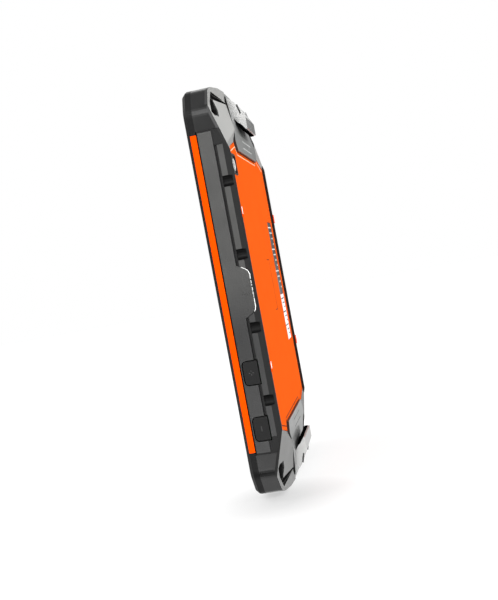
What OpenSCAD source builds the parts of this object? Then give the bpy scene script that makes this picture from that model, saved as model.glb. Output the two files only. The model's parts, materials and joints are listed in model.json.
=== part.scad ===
// Rugged handheld data collector: an eight inch field tablet that stands on its short edge.
// X runs across the device, Y from the screen to the back, Z along its length.
// Sub-parts are drawn with Y = 0 on the front plane and Z = 0 at mid length, and place() moves them
// so that the origin is at the middle of the bottom.

/* [Body] */
// Length over the two end caps
body_l = 237; // [232:1:248]
// Width over the side panels
body_w = 146; // [142:1:154]
// Thickness from the screen to the rims of the back
body_t = 22.4; // [22:0.2:24]
// Depth of the back cover below the rims
cover_depth = 1.7; // [1:0.1:2]
// Height of the strap hooks above the rims
hook_h = 4.9; // [4.5:0.1:6]

/* [Screen] */
// Width of the cover glass
glass_w = 126; // [120:1:128]
// Length of the cover glass
glass_l = 190; // [180:1:194]
// Thickness of the cover glass
glass_t = 1.1; // [0.8:0.1:1.3]

/* [Sides] */
// Depth where the orange trim strip starts
trim_y = 1.9; // [1.5:0.1:2.2]
// Width of the orange trim strip
trim_w = 3.4; // [3:0.1:3.6]
// Length of the orange trim strip
trim_l = 178.6; // [170:0.2:182]
// Distance between two accessory pockets
pocket_pitch = 41; // [39:0.5:42]
// Radius of an accessory pocket
pocket_r = 3.6; // [3:0.1:4]

/* [Keys] */
// Length of a volume button
button_l = 13; // [11:0.5:14]
// Width of a volume button
button_w = 8.3; // [7:0.1:8.4]

/* [Strap hooks] */
// Width of a strap hook
hook_w = 36; // [30:1:40]

/* [Hidden] */

$fn = 48;
hw = body_w / 2;
hl = body_l / 2;
depth_all = body_t + hook_h;
tiny = 0.01;

// Plan outline of one corner: side, long facet, short facet, shallow facet, end
side_top = hl - 16;
knee = [hw, side_top];
shoulder = [hw - 7.5, hl - 4.4];
brow = [hw - 15.5, hl - 1.9];
chin = [hw - 32, hl];
bend_r = 12;

// Corner slopes of the back: they fall away from a diagonal crease at the cover towards each end,
// and steeply over a narrow bevel beside each side
crease_z = hl - 39.7;
slope_z = 0.303;
slope_x = 0.138;
bevel_slope_x = 0.95;
// Rim round the outside of a corner: it slopes only across, and stands over the corner slope
rim_x = hw - 15.5;
rim_y = 15.8;
rim_slope_x = 0.076;
// Cover outline, between the rims
deck_y = body_t - cover_depth;
cover_t = 1.9;
cover_hw = hw - 2.7;
chevron_x = 40.3;
chevron_z = crease_z + 7.4;
// The caps rise from the cover's edge to the crease
rise_z = 0.253;
rise_x = rise_z * (chevron_z - crease_z) / (cover_hw - chevron_x);
slope_edge_x = hw - 1.6;
cap_t = 1.6;
shell_t = 2.4;

// Thickness of the dark lining of a corner recess
liner_t = 0.7;

// Raised plate between the cover and the hook
plate_z = hl - 37.3;
plate_fold_z = hl - 27.5;
plate_h = 1.4;
plate_slope = 0.16;
plate_gap = 0.9;

// Side layers, from the front
panel_y = 6.1;
panel_end_y = 14;
rail_y = 15.7;
rail_end_y = 19;
panel_x = hw - 1.6;
rail_x = hw - 1.2;
panel_hl = hl - 28.5;
housing_hl = panel_hl + 1;
rail_hl = hl - 36.7;
bulge_y = 20.4;
gap = 0.15;
recess_floor_y = 10.6;
groove_depth = 2.4;
socket_r = 2.1;
socket_x = hw - 10.8;
socket_z = hl - 14.2;
socket_floor_y = 6.6;

// Buttons on the right side
button_y = panel_y + 1.1;
button_up_z = -45;
button_down_z = -76.6;
button_gap = 0.6;

// Front keys
key_z = -(hl - 12.5);
key_pitch = 24;
speaker_x = 40;
speaker_hw = 6.5;

// Rear camera and the label recess
camera_x = 54;
camera_z = 71.8;
label_x = -65.2;
label_w = 19.6;
label_z = -41;
label_l = 82;
white_l = 31.5;

// Clips that hold the cover under the rims
clip_z = 43.4;
clip_l = 6;

// Case screws
screw_x = 62;
screw_z = hl - 25;

// Doors on the left side
usb_z = 52;
usb_l = 40;
power_z = -30;
power_l = 24;
door_y = 7;
door_w = 7;
door_t = 1.5;
pin_r = 0.5;

function unit(v) = v / norm(v);
function left(v) = [-v[1], v[0]];
// Point p of an outline moved to the left of its travel by d, with a and b its neighbours
function inset_point(a, p, b, d) =
    let (n = left(unit(p - a)), m = left(unit(b - p))) p + (n + m) * d / (1 + n * m);
function inset(points, d) =
    let (n = len(points))
    [for (i = [0 : n - 1]) inset_point(points[(i + n - 1) % n], points[i], points[(i + 1) % n], d)];
// Arc that rounds the corner p between a and b
function bend(a, p, b, r, steps) =
    let (u = unit(a - p), v = unit(b - p))
    let (half = acos(u * v) / 2, centre = p + unit(u + v) * r / sin(half))
    let (from = p + u * r / tan(half) - centre, turn = 180 - 2 * half)
    [for (i = [0 : steps]) let (t = i / steps * turn)
        centre + [from[0] * cos(t) - from[1] * sin(t), from[0] * sin(t) + from[1] * cos(t)]];

// Quarter of the plan outline, from the middle of the side to the end, turning left
quarter = concat(bend([hw, 0], knee, shoulder, bend_r, 6), bend(knee, shoulder, brow, 5, 3), [brow, chin]);
function flip(points, sx, sz) = [for (p = points) [p[0] * sx, p[1] * sz]];
function backwards(points) = [for (i = [len(points) - 1 : -1 : 0]) points[i]];
plan = concat(
    quarter, backwards(flip(quarter, -1, 1)), flip(quarter, -1, -1), backwards(flip(quarter, 1, -1)));

// Cover outline: a hexagon-like plate with cut corners
cover_quarter = [[cover_hw, crease_z], [chevron_x, chevron_z]];
cover_plan = concat(
    cover_quarter, backwards(flip(cover_quarter, -1, 1)),
    flip(cover_quarter, -1, -1), backwards(flip(cover_quarter, 1, -1)));

module place() {
    translate([0, -depth_all / 2, hl]) children();
}

// Extrudes a shape drawn in X and Z from depth y0 to depth y1
module slab(y0, y1) {
    translate([0, y1, 0]) rotate([90, 0, 0]) linear_extrude(y1 - y0) children();
}

// Extrudes a shape drawn in X and Y from height z0 to height z1
module tall(z0, z1) {
    translate([0, 0, z0]) linear_extrude(z1 - z0) children();
}

// Extrudes a shape drawn in Y and Z from x0 to x1
module across(x0, x1) {
    translate([x0, 0, 0]) rotate([90, 0, 90]) linear_extrude(x1 - x0) children();
}

module box(low, high) {
    translate(low) cube(high - low);
}

// Both ends, or both sides
module both_ends() {
    children();
    mirror([0, 0, 1]) children();
}

module both_sides() {
    children();
    mirror([1, 0, 0]) children();
}

// Cylinder along Y from depth y0 to depth y1
module peg(x, z, r, y0, y1, fn = 32) {
    translate([x, y0, z]) rotate([-90, 0, 0]) cylinder(h = y1 - y0, r = r, $fn = fn);
}

// Space in front of a plane through the point at, which falls by fall_x along X and fall_z along Z
module below_plane(at, fall_x, fall_z) {
    translate(at) rotate([atan(fall_z * cos(atan(fall_x))), 0, -atan(fall_x)])
        translate([-200, -200, -200]) cube([400, 200, 400]);
}

// Space in front of one corner slope and of its bevel, lowered by d
module below_slope(d) {
    intersection() {
        below_plane([slope_edge_x, body_t - d, crease_z], slope_x, slope_z);
        below_plane([slope_edge_x, body_t - d, crease_z], bevel_slope_x, slope_z);
    }
}

// Space in front of the four corner slopes and of the back plane
module below_back(d) {
    intersection() {
        box([-200, -50, -200], [200, body_t - d, 200]);
        below_slope(d);
        mirror([1, 0, 0]) below_slope(d);
        mirror([0, 0, 1]) below_slope(d);
        mirror([1, 0, 0]) mirror([0, 0, 1]) below_slope(d);
    }
}

// Rim of a corner in X and Z, outside the corner's recess
rim_plan = [
    [hw + 1, hl - 14.6], [hw + 1, hl + 1], [24, hl + 1], [24, hl - 6.8], [hw - 13.5, hl - 4.8],
    [hw - 8, hl - 11], [hw - 7, hl - 13.6]
];

// Space in front of the facet that rises from the cover's edge, inside the side rims
module below_rise(d) {
    both_sides() intersection() {
        below_plane([cover_hw, deck_y - d, crease_z], -rise_x, -rise_z);
        box([-tiny, -50, -200], [cover_hw, 100, 200]);
    }
    both_sides() box([cover_hw, -50, -200], [200, 100, 200]);
}

// Top end's bevel beside the cap, where the dark shells come up to the outside
module side_strip(d) {
    both_sides() intersection() {
        below_end(0);
        box([slope_edge_x + d, -50, crease_z - 1], [200, 100, 200]);
    }
}

// Space of the top end's shells, lowered by d: the corner slopes with the rims over them,
// cut down under the raised plate
module below_end(d) {
    difference() {
        union() {
            intersection() {
                below_back(d);
                below_rise(d);
            }
            both_sides() intersection() {
                slab(0, 40) polygon(rim_plan);
                below_plane([rim_x, rim_y - d, hl], rim_slope_x, 0);
            }
        }
        difference() {
            slab(0, 40) plate_plan(0);
            below_plate(plate_h + d);
        }
    }
}

// Space in front of a raised end plate's top
module below_plate(d) {
    intersection() {
        box([-200, -50, -10], [200, deck_y + plate_h - d, 200]);
        translate([0, deck_y + plate_h - d, plate_fold_z]) rotate([atan(plate_slope), 0, 0])
            translate([-200, -100, -200]) cube([400, 100, 400]);
    }
}

plate_half = [
    [37.5, plate_z], [42, hl - 31.5], [38.3, hl - 25.4], [34.7, hl - 19.6], [29.6, hl - 10.7], [25, hl]
];
module plate_plan(d) {
    polygon(inset(concat(plate_half, backwards(flip(plate_half, -1, 1))), d));
}

// Front ring with the window for the screen
module front_bezel() {
    color([0.13, 0.14, 0.14]) place() difference() {
        union() {
            hull() {
                slab(0, tiny) polygon(inset(plan, 2));
                slab(trim_y, trim_y + tiny) polygon(plan);
            }
            slab(trim_y, trim_y + trim_w) polygon(plan);
        }
        box([-glass_w / 2 - gap, -1, -glass_l / 2 - gap],
            [glass_w / 2 + gap, glass_t + 0.9, glass_l / 2 + gap]);
        box([-glass_w / 2 + 3, -1, -glass_l / 2 + 3], [glass_w / 2 - 3, 10, glass_l / 2 - 3]);
        both_sides() box([hw - 1.2, trim_y, -trim_l / 2], [hw + 5, trim_y + trim_w + 1, trim_l / 2]);
        for (i = [-1 : 1]) key_hole(i);
        peg(0, hl - 11, 3.1, -1, 1.2);
        peg(14, hl - 11, 1.6, -1, 1.2);
        for (i = [-1 : 1], k = [-1, 1]) peg(speaker_x * k + 4.5 * i, key_z, 1.1, -1, 10, 16);
    }
}

module key_hole(i) {
    slab(-1, 10) translate([i * key_pitch - 7.3, key_z - 3.3]) square([14.6, 6.6]);
}

module cover_glass() {
    color([0.05, 0.06, 0.07]) place()
        box([-glass_w / 2, 0.25, -glass_l / 2], [glass_w / 2, 0.25 + glass_t, glass_l / 2]);
}

module display_gasket() {
    color([0.1, 0.1, 0.1]) place() difference() {
        box([-glass_w / 2, 0.25 + glass_t, -glass_l / 2], [glass_w / 2, glass_t + 0.9, glass_l / 2]);
        box([-glass_w / 2 + 3, 0, -glass_l / 2 + 3], [glass_w / 2 - 3, 10, glass_l / 2 - 3]);
    }
}

// Liquid crystal panel behind the glass
module touch_display() {
    color([0.3, 0.32, 0.35]) place()
        box([-57, 0.25 + glass_t, -89], [57, trim_y + trim_w, 89]);
}

// Magnesium tray that carries the boards, the battery and the screen
module mid_frame() {
    color([0.55, 0.56, 0.57]) place() difference() {
        slab(trim_y + trim_w, 8.3) polygon(inset(plan, 5.2));
        for (i = [-1 : 1]) box([i * key_pitch - 8, 0, key_z - 4], [i * key_pitch + 8, 20, key_z + 4]);
        both_sides() box([28, 0, key_z - 5], [48, 20, key_z + 5]);
        box([hw - 13, 0, -88], [hw, 20, -34]);
        box([-hw, 0, usb_z - usb_l / 2 - 2], [-hw + 17, 20, usb_z + usb_l / 2 + 2]);
        box([-hw, 0, power_z - power_l / 2 - 2], [-hw + 17, 20, power_z + power_l / 2 + 2]);
        both_ends() both_sides() {
            peg(screw_x, screw_z, 1.6, 0, 20);
            slab(0, 20) recess_boss(0.4);
        }
    }
}

// Half of the housing's cross-section, in X and Y
housing_half = [
    [panel_x, trim_y + trim_w + 0.3], [panel_x, panel_end_y + 0.2], [rail_x, panel_end_y + 0.2],
    [rail_x, rail_end_y], [hw - 0.4, rail_end_y], [hw - 1.3, body_t], [0, body_t],
    [0, deck_y - 3.4], [hw - 4.6, deck_y - 3.4], [hw - 4.6, trim_y + trim_w + 0.3]
];

// Dark shell with the side walls, the back frame and the battery bay
module rear_housing() {
    color([0.2, 0.2, 0.2]) place() difference() {
        intersection() {
            union() {
                both_sides() tall(-housing_hl, housing_hl) polygon(housing_half);
                both_ends() both_sides() {
                    box([hw - 4, trim_y + trim_w + 0.3, panel_hl + gap], [hw - 0.2, 16, housing_hl]);
                    box([hw - 4, panel_end_y + gap, rail_hl + gap], [hw - 0.3, rail_end_y, housing_hl]);
                }
            }
            union() {
                both_ends() intersection() {
                    union() {
                        below_end(cap_t + 0.05);
                        side_strip(0.05);
                    }
                    box([-200, 0, 0], [200, 40, 200]);
                }
                box([-200, 0, -crease_z + 0.2], [200, body_t, crease_z - 0.2]);
            }
        }
        slab(deck_y - cover_t - 0.1, 40) polygon(inset(cover_plan, -gap));
        box([-44, 0, -66], [44, 40, 66]);
        both_sides() side_pockets();
        both_sides() bulge(gap, rail_x);
        for (z = [button_up_z, button_down_z]) {
            button_hole(z, -5);
            flange_box(z, 0.4, panel_x);
        }
        mirror([1, 0, 0]) door_hole(usb_z, usb_l);
        mirror([1, 0, 0]) door_hole(power_z, power_l);
        camera_hole();
        gasket_ring(deck_y - 2.7);
        both_ends() both_sides() clip(0.1);
    }
}

// Ring of the cover's seal, which lies in a groove of the housing
module gasket_ring(y0) {
    difference() {
        box([-47, y0, -69], [47, deck_y - cover_t, 69]);
        box([-44.5, 0, -66.5], [44.5, 40, 66.5]);
    }
}

// Four half-round pockets in the edge of a side
module side_pockets() {
    for (i = [-1.5 : 1 : 1.5])
        peg(hw - 2.2 + pocket_r, i * pocket_pitch, pocket_r, rail_y - 0.2, rail_end_y + 2.2);
}

// Middle of a side panel, which reaches back over the rail
module bulge(g, x0, x1 = hw + 1) {
    across(x0, x1) polygon(inset([
        [panel_end_y - 2, 15.8], [panel_end_y - 2, -15.8], [panel_end_y, -14.8], [18.2, -12.4],
        [19.8, -11], [bulge_y, -9], [bulge_y, 9], [19.8, 11], [18.2, 12.4], [panel_end_y, 14.8]
    ], -g));
}

module button_hole(z, depth) {
    across(hw + depth, hw + 1) button_plan(z, button_gap);
}

// Outline of a volume button: round towards the screen, square towards the back
module button_plan(z, g) {
    r = 2;
    w = button_w;
    h = button_l / 2;
    arc = [for (a = [0 : 18 : 90]) [r - r * cos(a), -h + r - r * sin(a)]];
    half = concat(arc, [[w, -h]]);
    translate([button_y, z]) polygon(inset(concat(half, backwards(flip(half, 1, -1))), -g));
}

module door_hole(z, l) {
    box([hw - 2.6, door_y - 0.3, z - l / 2 - 0.3], [hw + 1, door_y + door_w + 0.3, z + l / 2 + 0.3]);
    box([hw - 12, door_y + 0.8, z - l / 2 + 3], [hw + 1, door_y + door_w - 1.2, z + l / 2 - 3]);
    translate([hw - 0.8, door_y + door_w - 0.9, z - l / 2 - 2.2]) cylinder(h = l + 4.4, r = pin_r, $fn = 24);
}

module camera_hole() {
    box([camera_x - 7.5, 0, camera_z - 5.6], [camera_x + 7.5, 40, camera_z + 5.6]);
}

// Textured grey panel on one side, with a slanted top and bottom end
module side_panel() {
    across(panel_x, hw) polygon([
        [panel_y, -panel_hl], [panel_y, panel_hl], [panel_end_y, panel_hl], [panel_end_y, -panel_hl]]);
    bulge(0, rail_x, hw);
}

module side_panel_right() {
    color([0.42, 0.42, 0.41]) place() difference() {
        side_panel();
        button_hole(button_up_z, -5);
        button_hole(button_down_z, -5);
    }
}

module side_panel_left() {
    color([0.42, 0.42, 0.41]) place() mirror([1, 0, 0]) difference() {
        side_panel();
        door_hole(usb_z, usb_l);
        door_hole(power_z, power_l);
    }
}

// Narrow grey strip behind the panel, cut by the pockets
module rail() {
    difference() {
        box([rail_x, rail_y, -rail_hl], [hw - 0.4, rail_end_y, rail_hl]);
        side_pockets();
        bulge(0.3, hw - 9);
    }
}

module rail_right() {
    color([0.42, 0.42, 0.41]) place() difference() {
        rail();
        button_hole(button_up_z, -9);
        button_hole(button_down_z, -9);
    }
}

module rail_left() {
    color([0.42, 0.42, 0.41]) place() mirror([1, 0, 0]) rail();
}

// Orange strip let into the side of the bezel
module trim() {
    box([hw - 1.2, trim_y, -trim_l / 2], [hw - 0.1, trim_y + trim_w, trim_l / 2]);
}

module trim_right() {
    color([1, 0.37, 0.03]) place() trim();
}

module trim_left() {
    color([1, 0.37, 0.03]) place() mirror([1, 0, 0]) trim();
}

// Rubber shell around one end
module bumper() {
    difference() {
        intersection() {
            slab(trim_y + trim_w, 40) polygon(plan);
            union() {
                below_end(cap_t);
                side_strip(0.05);
                intersection() {
                    below_end(0.35);
                    both_sides() slab(0, 40) polygon(inset(recess_plan, 0.1));
                }
            }
            box([-200, 0, housing_hl], [200, 40, 200]);
        }
        difference() {
            intersection() {
                slab(0, 40) polygon(inset(plan, 4.2));
                below_back(cap_t + shell_t);
                below_plate(plate_h + cap_t + shell_t);
            }
            both_sides() slab(0, 40) recess_boss(0);
        }
        corner_recess(liner_t);
        both_sides() peg(screw_x, screw_z, 1.6, 0, 40);
        for (x = [-13, 13]) peg(x, hl - 7.5, 1.1, 0, 40, 24);
    }
}

module bumper_top() {
    color([0.16, 0.16, 0.16]) place() bumper();
}

module bumper_bottom() {
    color([0.16, 0.16, 0.16]) place() mirror([0, 0, 1]) bumper();
}

// Recess in each corner, with a groove along the rim and a round socket in its floor
recess_plan = [
    [hw - 3, hl - 17.7], [hw - 7, hl - 13.6], [hw - 8, hl - 11], [hw - 13.5, hl - 4.8],
    [hw - 18, hl - 8.5], [hw - 17.5, hl - 15.1], [hw - 13.5, hl - 19.5], [hw - 5.5, hl - 20]
];
groove_plan = [[hw - 13.4, hl - 4.9], [29, hl - 7], [30, hl - 8.2], [hw - 17.9, hl - 8.6]];

module recess_boss(g) {
    polygon(inset(recess_plan, -1.6 - g));
}

// Recess of each corner with its socket and groove; walls moved in by g
module corner_recess(g) {
    both_sides() {
        slab(recess_floor_y, 40) polygon(inset(recess_plan, g));
        peg(socket_x, socket_z, socket_r, socket_floor_y, 40);
    }
    difference() {
        both_sides() slab(0, 40) polygon(groove_plan);
        below_back(groove_depth);
    }
}

// Sloped cap of one end, around the raised plate
module end_cap() {
    difference() {
        intersection() {
            slab(0, 40) polygon(plan);
            below_end(0);
            box([-200, 0, crease_z], [200, 40, 200]);
        }
        below_end(cap_t);
        slab(0, 40) polygon(inset(cover_plan, -0.3));
        slab(0, 40) plate_plan(-plate_gap);
        corner_recess(0);
        side_strip(0);
    }
}

module end_cap_top() {
    color([0.62, 0.62, 0.61]) place() end_cap();
}

module end_cap_bottom() {
    color([0.62, 0.62, 0.61]) place() mirror([0, 0, 1]) end_cap();
}

// Raised plate between the cover and the end, under the hook
module end_plate() {
    difference() {
        intersection() {
            slab(0, 40) plate_plan(0);
            below_plate(0);
        }
        below_plate(plate_h + cap_t);
        for (x = [-13, 13]) peg(x, hl - 7.5, 1.1, 0, 40, 24);
    }
}

module end_plate_top() {
    color([0.5, 0.5, 0.5]) place() end_plate();
}

module end_plate_bottom() {
    color([0.5, 0.5, 0.5]) place() mirror([0, 0, 1]) end_plate();
}

// Depth of the plate's top at height z
function plate_top(z) = deck_y + plate_h - plate_slope * (z - plate_fold_z);

// Strap hook: foot on the plate's slope, a ramp up to a lip, and an undercut for the strap
hook_root_z = hl - 2;
hook_lip_z = hl - 22.6;
hook_top = body_t + hook_h;
hook_profile = [
    [plate_top(hook_root_z), hook_root_z],
    [plate_top(hl - 15), hl - 15],
    [hook_top - 5, hl - 18.1],
    [hook_top - 3.1, hl - 19.6],
    [hook_top - 1.1, hook_lip_z],
    [hook_top, hook_lip_z],
    [hook_top, hl - 15.6],
    [hook_top - 0.5, hl - 14.5],
    [hook_top - 5.1, hl - 5.8],
    [plate_top(hook_root_z) + 0.4, hook_root_z]
];
hook_hollow = [
    [plate_top(hl - 7), hl - 7],
    [plate_top(hl - 13.5), hl - 13.5],
    [hook_top - 3.2, hl - 17.5],
    [hook_top - 2.6, hl - 15.2]
];
// Relief slit beside the bend of each side wall
hook_slit = [
    [hook_top - 4.6, hl - 7.5], [hook_top - 3, hl - 13.2], [hook_top - 2.1, hl - 12.8], [hook_top - 3.7, hl - 6.9]
];

module strap_hook() {
    difference() {
        across(-hook_w / 2, hook_w / 2) polygon(hook_profile);
        across(-hook_w / 2 + 1.6, hook_w / 2 - 1.6) polygon(hook_hollow);
        both_sides() across(hook_w / 2 - 1.7, hook_w) polygon(hook_slit);
        for (x = [-13, 13]) peg(x, hl - 7.5, 1.3, 0, 60, 24);
        for (x = [-13, 13]) peg(x, hl - 7.5, 2.4, plate_top(hl - 7.5) + 1.6, 60, 24);
    }
}

module strap_hook_top() {
    color([0.8, 0.8, 0.8]) place() strap_hook();
}

module strap_hook_bottom() {
    color([0.8, 0.8, 0.8]) place() mirror([0, 0, 1]) strap_hook();
}

module hook_screws() {
    for (x = [-13, 13]) {
        peg(x, hl - 7.5, 1, plate_top(hl - 7.5) - 4, plate_top(hl - 7.5) + 1.7, 24);
        peg(x, hl - 7.5, 2.2, plate_top(hl - 7.5) + 1.65, plate_top(hl - 7.5) + 2.6, 24);
    }
}

module hook_screws_top() {
    color([0.3, 0.3, 0.3]) place() hook_screws();
}

module hook_screws_bottom() {
    color([0.3, 0.3, 0.3]) place() mirror([0, 0, 1]) hook_screws();
}

// Orange cover over the battery bay
module back_cover() {
    color([0.98, 0.42, 0.12]) place() difference() {
        intersection() {
            slab(deck_y - cover_t, deck_y) polygon(cover_plan);
            box([-200, 0, -200], [200, 40, 200]);
        }
        both_ends() slab(0, 40) plate_plan(-0.3);
        camera_hole();
        box([label_x, deck_y - 0.7, label_z], [label_x + label_w, 40, label_z + label_l]);
    }
}

// Rubber cord seal around the battery bay
module cover_gasket() {
    color([0.1, 0.1, 0.1]) place() gasket_ring(deck_y - 2.7);
}

// One clip in its notch of the rim, grown by g
module clip(g) {
    box([hw - 2.3 - g, deck_y - 0.1 - g, clip_z - clip_l / 2 - g],
        [hw - 1.5 + g, body_t + 0.6 + g, clip_z + clip_l / 2 + g]);
}

module cover_clips() {
    color([1, 0.4, 0.05]) place() both_ends() both_sides() clip(0);
}

module battery_pack() {
    color([0.15, 0.15, 0.17]) place() box([-42, 11.5, -63], [42, deck_y - 2.2, 63]);
}

module battery_connector() {
    color([0.75, 0.6, 0.2]) place() box([-9, 10.3, -66], [9, 14, -63.2]);
}

module dark_label() {
    color([0.25, 0.3, 0.33]) place()
        box([label_x + 0.2, deck_y - 0.7, label_z + white_l + 0.3],
            [label_x + label_w - 0.2, deck_y - 0.35, label_z + label_l - 0.2]);
}

module white_label() {
    color([0.95, 0.95, 0.95]) place()
        box([label_x + 0.2, deck_y - 0.7, label_z + 0.2],
            [label_x + label_w - 0.2, deck_y - 0.35, label_z + white_l]);
}

module camera_window() {
    color([0.04, 0.04, 0.05]) place()
        box([camera_x - 7.3, deck_y - 1.5, camera_z - 5.4], [camera_x + 7.3, deck_y - 0.5, camera_z + 5.4]);
}

module camera_module() {
    color([0.2, 0.2, 0.22]) place() {
        box([camera_x - 6, deck_y - 9, camera_z - 4], [camera_x + 2, deck_y - 3, camera_z + 4]);
        peg(camera_x - 2, camera_z, 3.2, deck_y - 3, deck_y - 1.6);
    }
}

module main_board() {
    color([0.05, 0.35, 0.2]) place() difference() {
        box([-58, 8.6, -88], [58, 9.8, 94]);
        box([hw - 14, 0, -90], [hw, 20, -32]);
        box([-hw, 0, power_z - power_l / 2 - 2], [-hw + 18, 20, power_z + power_l / 2 + 2]);
        box([-hw, 0, usb_z - usb_l / 2 - 2], [-hw + 18, 20, usb_z + usb_l / 2 + 2]);
    }
}

module shield_cans() {
    color([0.7, 0.7, 0.7]) place() {
        box([-40, 9.8, 68], [-6, 12.4, 92]);
        box([2, 9.8, 68], [30, 12.4, 92]);
        box([-38, 9.8, -86], [-6, 12.2, -70]);
    }
}

module gnss_antenna() {
    color([0.75, 0.72, 0.6]) place() box([-14, 10.4, hl - 25], [14, 13.8, hl - 13]);
}

module radio_antenna() {
    color([0.7, 0.55, 0.3]) place() box([-50, 10.2, hl - 16], [-22, 11.2, hl - 8]);
}

// A volume button with its symbol cut into its face
module volume_button(z) {
    across(hw - 2, hw - 0.05) button_plan(z, 0);
    flange_box(z, 0, hw - 2);
}

// Block of a button's flange, grown by g, that ends at x1
module flange_box(z, g, x1) {
    box([hw - 4 - 2 * g, button_y + 1 - g, z - button_l / 2 - 0.6 - g],
        [x1, button_y + button_w - 1 + g, z + button_l / 2 + 0.6 + g]);
}

module volume_up_button() {
    color([0.3, 0.3, 0.3]) place() difference() {
        volume_button(button_up_z);
        for (a = [0 : 90 : 270])
            translate([hw - 0.3, button_y + button_w / 2, button_up_z]) rotate([a, 0, 0])
                box([0, -0.3, 0.6], [1, 0.3, 1.7]);
    }
}

module volume_down_button() {
    color([0.3, 0.3, 0.3]) place() difference() {
        volume_button(button_down_z);
        translate([hw - 0.3, button_y + button_w / 2, button_down_z]) box([0, -0.3, -1.8], [1, 0.3, 1.8]);
    }
}

module side_key_board() {
    color([0.05, 0.35, 0.2]) place() box([hw - 7.2, 8.4, -86], [hw - 6.2, 15, -36]);
}

// Metal snap domes under the volume buttons
module side_key_domes() {
    color([0.75, 0.75, 0.75]) place() for (z = [button_up_z, button_down_z])
        translate([hw - 6.2, button_y + button_w / 2, z]) rotate([0, 90, 0])
            cylinder(h = 1.4, r1 = 2.6, r2 = 1.4, $fn = 32);
}

// A front key: cap with a flange behind the bezel
module front_key(i) {
    slab(0, trim_y + trim_w + 0.2) translate([i * key_pitch - 7, key_z - 3]) square([14, 6]);
    slab(trim_y + trim_w + 0.2, 6.2) translate([i * key_pitch - 7.8, key_z - 3.8]) square([15.6, 7.6]);
}

module power_key() {
    color([0.3, 0.3, 0.3]) place() front_key(-1);
}

module home_key() {
    color([0.3, 0.3, 0.3]) place() front_key(0);
}

module menu_key() {
    color([0.3, 0.3, 0.3]) place() front_key(1);
}

module front_key_board() {
    color([0.05, 0.35, 0.2]) place() {
        box([-29, 8.4, key_z - 5], [29, 9.4, key_z + 5]);
        for (i = [-1 : 1]) peg(i * key_pitch, key_z, 2, 7.2, 8.4);
    }
}

module front_camera_lens() {
    color([0.05, 0.05, 0.07]) place() peg(0, hl - 11, 3, 0.3, 1.2);
}

module status_light() {
    color([0.7, 0.9, 0.7]) place() peg(14, hl - 11, 1.5, 0.3, 1.2);
}

module speaker() {
    color([0.15, 0.15, 0.15]) place() both_sides()
        box([speaker_x - speaker_hw, trim_y + trim_w + 0.5, key_z - 3.6],
            [speaker_x + speaker_hw, 10, key_z + 3.6]);
}

module speaker_grille() {
    color([0.12, 0.12, 0.12]) place() both_sides()
        box([speaker_x - speaker_hw, trim_y + trim_w, key_z - 3.4],
            [speaker_x + speaker_hw, trim_y + trim_w + 0.4, key_z + 3.4]);
}

module usb_connector() {
    color([0.7, 0.7, 0.7]) place() mirror([1, 0, 0]) difference() {
        box([hw - 13, 8.2, usb_z - 6], [hw - 4.7, 12, usb_z + 6]);
        box([hw - 11, 8.8, usb_z - 5.2], [hw, 11.4, usb_z + 5.2]);
    }
}

module power_jack() {
    color([0.2, 0.2, 0.2]) place() mirror([1, 0, 0]) difference() {
        box([hw - 13, 8, power_z - 4], [hw - 4.7, 12.4, power_z + 4]);
        translate([hw - 11, 10.2, power_z]) rotate([0, 90, 0]) cylinder(h = 20, r = 1.6, $fn = 32);
    }
}

// Hinged port door with its seal plug; the hinge pin runs along its back edge
module port_door(z, l) {
    pin = [hw - 0.8, door_y + door_w - 0.9];
    difference() {
        union() {
            box([hw - door_t, door_y, z - l / 2], [hw - 0.05, door_y + door_w - 1.8, z + l / 2]);
            tall(z - l / 2, z + l / 2) translate(pin) circle(r = 0.75);
            box([hw - 1.35, door_y + door_w - 2, z - l / 2], [hw - 0.5, door_y + door_w - 0.9, z + l / 2]);
            box([hw - 3.4, door_y + 1.8, z - l / 2 + 3.6],
                [hw - door_t, door_y + door_w - 2.6, z + l / 2 - 3.6]);
        }
        translate([pin[0], pin[1], z - l]) cylinder(h = 2 * l, r = pin_r + 0.03, $fn = 24);
    }
}

module usb_door() {
    color([0.2, 0.2, 0.2]) place() mirror([1, 0, 0]) port_door(usb_z, usb_l);
}

module power_door() {
    color([0.2, 0.2, 0.2]) place() mirror([1, 0, 0]) port_door(power_z, power_l);
}

module door_pin(z, l) {
    mirror([1, 0, 0]) translate([hw - 0.8, door_y + door_w - 0.9, z - l / 2 - 2])
        cylinder(h = l + 4, r = pin_r, $fn = 24);
}

module usb_door_pin() {
    color([0.75, 0.75, 0.75]) place() door_pin(usb_z, usb_l);
}

module power_door_pin() {
    color([0.75, 0.75, 0.75]) place() door_pin(power_z, power_l);
}

// Screws from the end shells through the frame into the bezel
module case_screws() {
    color([0.4, 0.4, 0.4]) place() both_ends() both_sides() {
        peg(screw_x, screw_z, 1.4, trim_y + trim_w, 16);
    }
}

front_bezel();
cover_glass();
touch_display();
display_gasket();
mid_frame();
rear_housing();
trim_right();
trim_left();
side_panel_right();
side_panel_left();
rail_right();
rail_left();
bumper_top();
bumper_bottom();
end_cap_top();
end_cap_bottom();
end_plate_top();
end_plate_bottom();
strap_hook_top();
strap_hook_bottom();
hook_screws_top();
hook_screws_bottom();
back_cover();
cover_gasket();
cover_clips();
battery_pack();
battery_connector();
dark_label();
white_label();
camera_window();
camera_module();
main_board();
shield_cans();
gnss_antenna();
radio_antenna();
volume_up_button();
volume_down_button();
side_key_board();
side_key_domes();
power_key();
home_key();
menu_key();
front_key_board();
front_camera_lens();
status_light();
speaker();
speaker_grille();
usb_connector();
power_jack();
usb_door();
power_door();
usb_door_pin();
power_door_pin();
case_screws();
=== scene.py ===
"""Looks of the data collector: materials, small surface detail, camera, light and floor."""
import json
import math

import bmesh
import bpy
from mathutils import Matrix, Vector


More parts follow.
